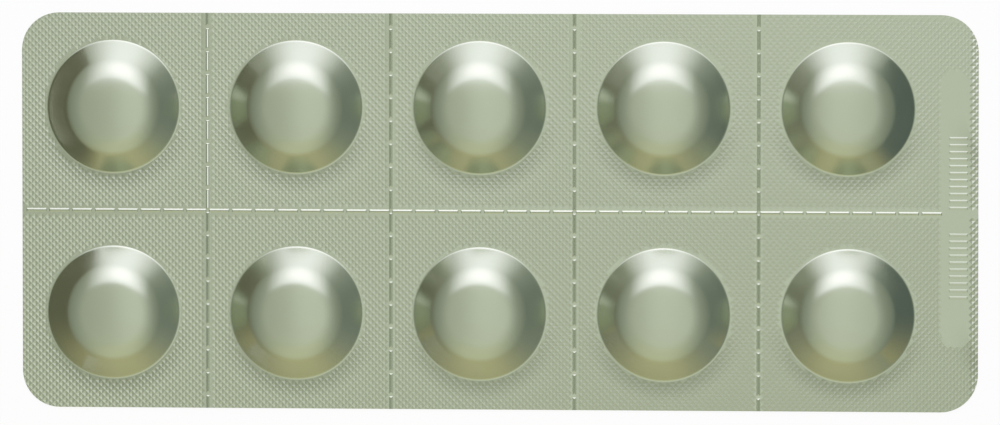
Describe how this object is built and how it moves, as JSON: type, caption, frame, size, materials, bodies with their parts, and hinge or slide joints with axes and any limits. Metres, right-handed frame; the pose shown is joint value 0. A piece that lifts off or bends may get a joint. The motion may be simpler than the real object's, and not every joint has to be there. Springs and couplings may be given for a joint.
{
  "type": "blister pack of tablets",
  "caption": "Sealed foil blister card with rows of round domed pockets, dashed tear lines between them, a smooth strip along one end and a flat sealed back.",
  "frame": {"origin": "centre of the flat sealed back, at the bottom of the card", "axes": "+X along the card's length towards the smooth strip, +Z out of the front, away from the sealed back"},
  "size_m": [0.102, 0.0422, 0.0032],
  "materials": {
    "foil": "satin cold-formed aluminium laminate with a clear film coat, pressed with a fine diamond knurl"
  },
  "bodies": {
    "root": {"blister_pack": "foil"}
  },
  "joints": []
}
